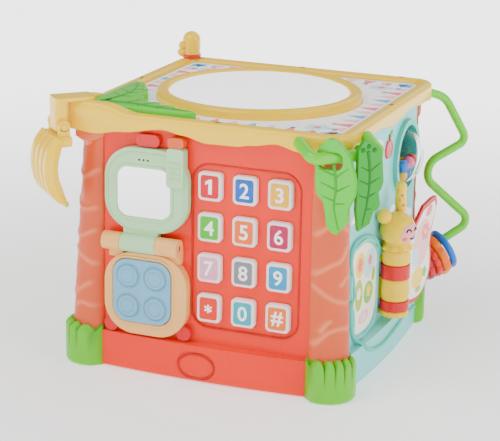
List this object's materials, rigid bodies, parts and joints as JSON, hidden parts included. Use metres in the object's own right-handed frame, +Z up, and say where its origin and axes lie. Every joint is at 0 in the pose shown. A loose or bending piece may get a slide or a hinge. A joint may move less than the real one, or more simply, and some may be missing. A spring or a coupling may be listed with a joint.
{
  "type": "baby activity cube",
  "caption": "Activity cube with keypad, flip phone with mirror, drum top, turning butterfly page, rattle ball, bead wire, swinging leaves and a banana handle on tree-trunk corners.",
  "frame": {"origin": "centre of the base plate's underside, in the plane the feet stand on", "axes": "+Z up, keypad and phone face towards -Y, butterfly and rattle face towards +X"},
  "size_m": [0.2811, 0.2811, 0.2258],
  "materials": {
    "orange_red": "satin moulded ABS",
    "teal": "satin moulded ABS",
    "lime_panel": "satin moulded ABS",
    "yellow": "gloss moulded ABS",
    "bark": "satin moulded ABS",
    "lime": "gloss moulded ABS",
    "leaf_light": "satin moulded PE",
    "leaf_dark": "satin moulded PE",
    "card": "printed label",
    "white_skin": "satin",
    "mint": "satin moulded ABS",
    "peach": "satin moulded ABS",
    "sky": "satin",
    "mirror_foil": "safe mirror foil",
    "amber": "translucent",
    "crimson": "gloss",
    "blue": "gloss",
    "orange": "gloss",
    "red": "gloss",
    "clear": "clear polystyrene",
    "steel": "plain",
    "silicone": "matte",
    "board": "circuit board",
    "dark": "matte",
    "cell": "printed cell",
    "key_1": "printed key cap",
    "key_2": "printed key cap",
    "key_3": "printed key cap",
    "key_4": "printed key cap",
    "key_5": "printed key cap",
    "key_6": "printed key cap",
    "key_7": "printed key cap",
    "key_8": "printed key cap",
    "key_9": "printed key cap",
    "key_star": "printed key cap",
    "key_0": "printed key cap",
    "key_hash": "printed key cap"
  },
  "bodies": {
    "cube": {"front_panel": "orange_red", "right_panel": "teal", "left_panel": "lime_panel", "rear_panel": "teal", "base_plate": "teal", "battery_door": "teal", "batteries": "cell", "trunk_front_right": "bark", "trunk_rear_right": "bark", "trunk_rear_left": "bark", "trunk_front_left": "bark", "grass_feet": "lime", "top_frame": "yellow", "deck_label": "card", "drum_ring": "yellow", "drum_tray": "yellow", "palm_leaf_cover": "leaf_light", "banana_bracket": "yellow", "banana_pin": "steel", "leaf_bar": "lime", "bead_wire": "lime", "key_membrane": "silicone", "circuit_board": "board", "speaker": "dark", "phone_base": "peach", "phone_hinge_pin": "steel", "phone_trim": "crimson", "bee_body": "yellow", "rattle_bezel": "teal"},
    "key_1": {"key_1": "key_1"},
    "key_2": {"key_2": "key_2"},
    "key_3": {"key_3": "key_3"},
    "key_4": {"key_4": "key_4"},
    "key_5": {"key_5": "key_5"},
    "key_6": {"key_6": "key_6"},
    "key_7": {"key_7": "key_7"},
    "key_8": {"key_8": "key_8"},
    "key_9": {"key_9": "key_9"},
    "key_star": {"key_star": "key_star"},
    "key_0": {"key_0": "key_0"},
    "key_hash": {"key_hash": "key_hash"},
    "phone_button": {"phone_button": "sky"},
    "phone_lid": {"phone_flip": "mint", "phone_mirror": "mirror_foil", "phone_antenna": "amber"},
    "drum_skin": {"drum_skin": "white_skin"},
    "banana_bunch": {"banana_bunch": "yellow"},
    "light_leaf": {"light_leaf": "leaf_light"},
    "dark_leaf": {"dark_leaf": "leaf_dark"},
    "blue_ring": {"blue_ring": "blue"},
    "orange_bead": {"orange_bead": "orange"},
    "red_bead": {"red_bead": "red"},
    "crimson_bead": {"crimson_bead": "crimson"},
    "bee_wing": {"bee_page": "crimson", "wing_print": "card"},
    "rattle": {"rattle_ball": "clear", "rattle_beads": "blue"},
    "spinner_post": {"spinner_post": "yellow"},
    "left_spinner": {"left_spinner": "yellow"},
    "power_switch": {"power_switch": "dark"}
  },
  "joints": [
    {"name": "key_1_press", "type": "slide", "parent": "cube", "child": "key_1", "axis": [0, 1, 0], "range_m": [0, 0.002], "stiffness_N_per_m": 300, "springref_m": -0.001},
    {"name": "key_2_press", "type": "slide", "parent": "cube", "child": "key_2", "axis": [0, 1, 0], "range_m": [0, 0.002], "stiffness_N_per_m": 300, "springref_m": -0.001},
    {"name": "key_3_press", "type": "slide", "parent": "cube", "child": "key_3", "axis": [0, 1, 0], "range_m": [0, 0.002], "stiffness_N_per_m": 300, "springref_m": -0.001},
    {"name": "key_4_press", "type": "slide", "parent": "cube", "child": "key_4", "axis": [0, 1, 0], "range_m": [0, 0.002], "stiffness_N_per_m": 300, "springref_m": -0.001},
    {"name": "key_5_press", "type": "slide", "parent": "cube", "child": "key_5", "axis": [0, 1, 0], "range_m": [0, 0.002], "stiffness_N_per_m": 300, "springref_m": -0.001},
    {"name": "key_6_press", "type": "slide", "parent": "cube", "child": "key_6", "axis": [0, 1, 0], "range_m": [0, 0.002], "stiffness_N_per_m": 300, "springref_m": -0.001},
    {"name": "key_7_press", "type": "slide", "parent": "cube", "child": "key_7", "axis": [0, 1, 0], "range_m": [0, 0.002], "stiffness_N_per_m": 300, "springref_m": -0.001},
    {"name": "key_8_press", "type": "slide", "parent": "cube", "child": "key_8", "axis": [0, 1, 0], "range_m": [0, 0.002], "stiffness_N_per_m": 300, "springref_m": -0.001},
    {"name": "key_9_press", "type": "slide", "parent": "cube", "child": "key_9", "axis": [0, 1, 0], "range_m": [0, 0.002], "stiffness_N_per_m": 300, "springref_m": -0.001},
    {"name": "key_star_press", "type": "slide", "parent": "cube", "child": "key_star", "axis": [0, 1, 0], "range_m": [0, 0.002], "stiffness_N_per_m": 300, "springref_m": -0.001},
    {"name": "key_0_press", "type": "slide", "parent": "cube", "child": "key_0", "axis": [0, 1, 0], "range_m": [0, 0.002], "stiffness_N_per_m": 300, "springref_m": -0.001},
    {"name": "key_hash_press", "type": "slide", "parent": "cube", "child": "key_hash", "axis": [0, 1, 0], "range_m": [0, 0.002], "stiffness_N_per_m": 300, "springref_m": -0.001},
    {"name": "phone_button_press", "type": "slide", "parent": "cube", "child": "phone_button", "axis": [0, 1, 0], "range_m": [0, 0.0015], "stiffness_N_per_m": 400, "springref_m": -0.001},
    {"name": "phone_lid_hinge", "type": "hinge", "parent": "cube", "child": "phone_lid", "pos_m": [-0.046, -0.1128, 0.1037], "axis": [1, 0, 0], "range_deg": [0, 165]},
    {"name": "drum_press", "type": "slide", "parent": "cube", "child": "drum_skin", "axis": [0, 0, -1], "range_m": [0, 0.002], "stiffness_N_per_m": 2500, "springref_m": -0.001},
    {"name": "banana_swing", "type": "hinge", "parent": "cube", "child": "banana_bunch", "pos_m": [-0.11632, -0.11632, 0.191], "axis": [-0.7071, 0.7071, 0], "range_deg": [0, 35]},
    {"name": "light_leaf_swing", "type": "hinge", "parent": "cube", "child": "light_leaf", "pos_m": [0.10288, -0.12056, 0.19], "axis": [-0.7071, -0.7071, 0], "range_deg": [0, 28]},
    {"name": "dark_leaf_swing", "type": "hinge", "parent": "cube", "child": "dark_leaf", "pos_m": [0.12021, -0.10324, 0.19], "axis": [-0.7071, -0.7071, 0], "range_deg": [0, 28]},
    {"name": "blue_ring_slide", "type": "slide", "parent": "cube", "child": "blue_ring", "axis": [0.6325, 0.6325, 0.4472], "range_m": [0, 0.015]},
    {"name": "orange_bead_swing", "type": "hinge", "parent": "cube", "child": "orange_bead", "pos_m": [0.11418, 0.11418, 0.05974], "axis": [-0.6325, -0.6325, -0.4472], "range_deg": [-60, 60]},
    {"name": "red_bead_swing", "type": "hinge", "parent": "cube", "child": "red_bead", "pos_m": [0.10982, 0.10982, 0.05665], "axis": [-0.6325, -0.6325, -0.4472], "range_deg": [-60, 60]},
    {"name": "crimson_bead_swing", "type": "hinge", "parent": "cube", "child": "crimson_bead", "pos_m": [0.10546, 0.10546, 0.05357], "axis": [-0.6325, -0.6325, -0.4472], "range_deg": [-60, 60]},
    {"name": "bee_wing_hinge", "type": "hinge", "parent": "cube", "child": "bee_wing", "pos_m": [0.1175, 0, 0.06], "axis": [0, 0, -1], "range_deg": [0, 164]},
    {"name": "rattle_spin", "type": "hinge", "parent": "cube", "child": "rattle", "pos_m": [0.095, 0.053, 0.151], "axis": [0, 0, 1], "continuous": true},
    {"name": "post_spin", "type": "hinge", "parent": "cube", "child": "spinner_post", "pos_m": [-0.10394, 0.10394, 0.203], "axis": [0, 0, 1], "continuous": true},
    {"name": "left_spinner_spin", "type": "hinge", "parent": "cube", "child": "left_spinner", "pos_m": [-0.105, 0, 0.1062], "axis": [-1, 0, 0], "continuous": true},
    {"name": "power_switch_slide", "type": "slide", "parent": "cube", "child": "power_switch", "axis": [-1, 0, 0], "range_m": [0, 0.008]}
  ]
}
